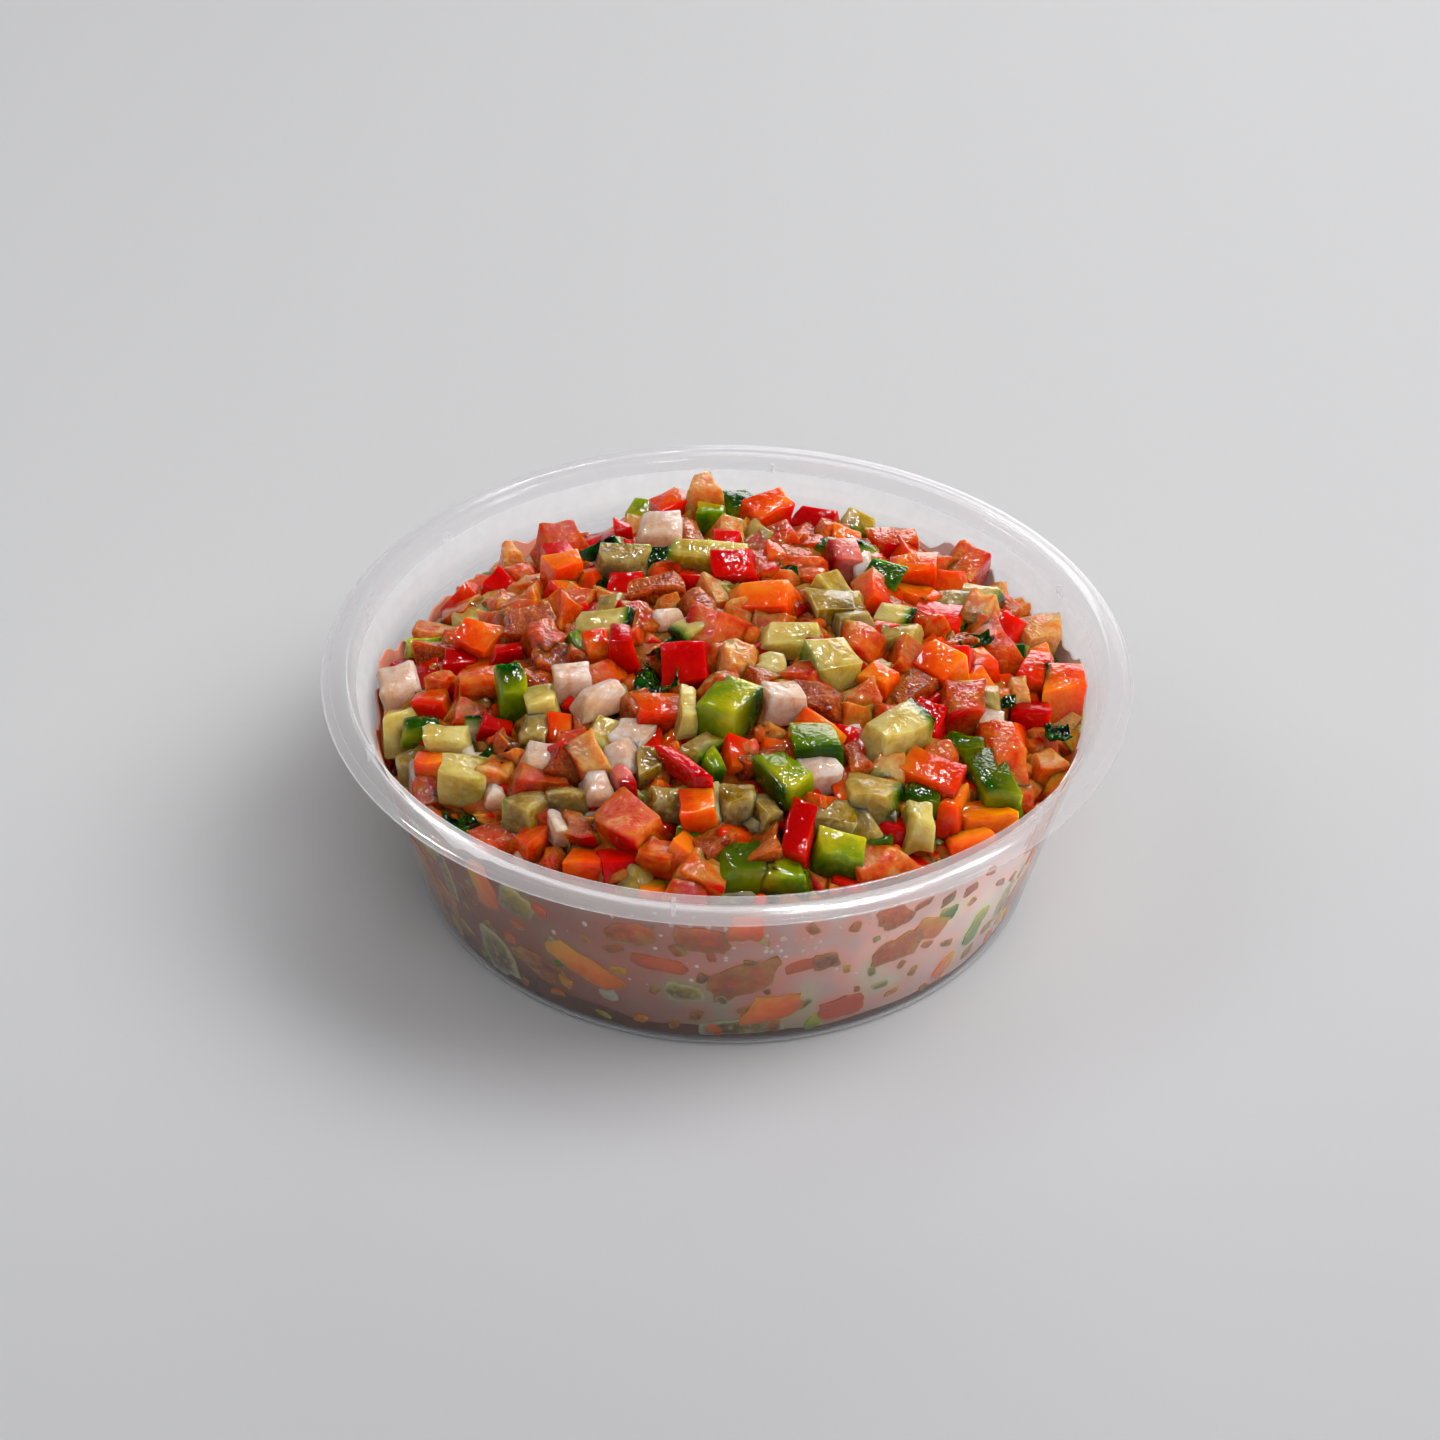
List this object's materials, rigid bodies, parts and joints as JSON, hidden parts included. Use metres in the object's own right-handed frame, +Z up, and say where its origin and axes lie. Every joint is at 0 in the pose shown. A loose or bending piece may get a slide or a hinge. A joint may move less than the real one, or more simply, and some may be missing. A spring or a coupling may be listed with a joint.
{
  "type": "chopped salad in a plastic tub",
  "caption": "Diced vegetable salad heaped in a round, tapered, see-through plastic deli tub with a rolled lip.",
  "frame": {"origin": "middle of the underside of the tub's base", "axes": "+Z up through the middle of the tub, +Y away from the side that faces the camera"},
  "size_m": [0.117, 0.117, 0.0425],
  "materials": {
    "tub_plastic": "thin frosted see-through polypropylene, smooth and slightly milky",
    "salad": "wet diced vegetables: red and orange most of all, with green, pale green and white"
  },
  "bodies": {
    "root": {"tub": "tub_plastic", "salad_heap": "salad"}
  },
  "joints": []
}
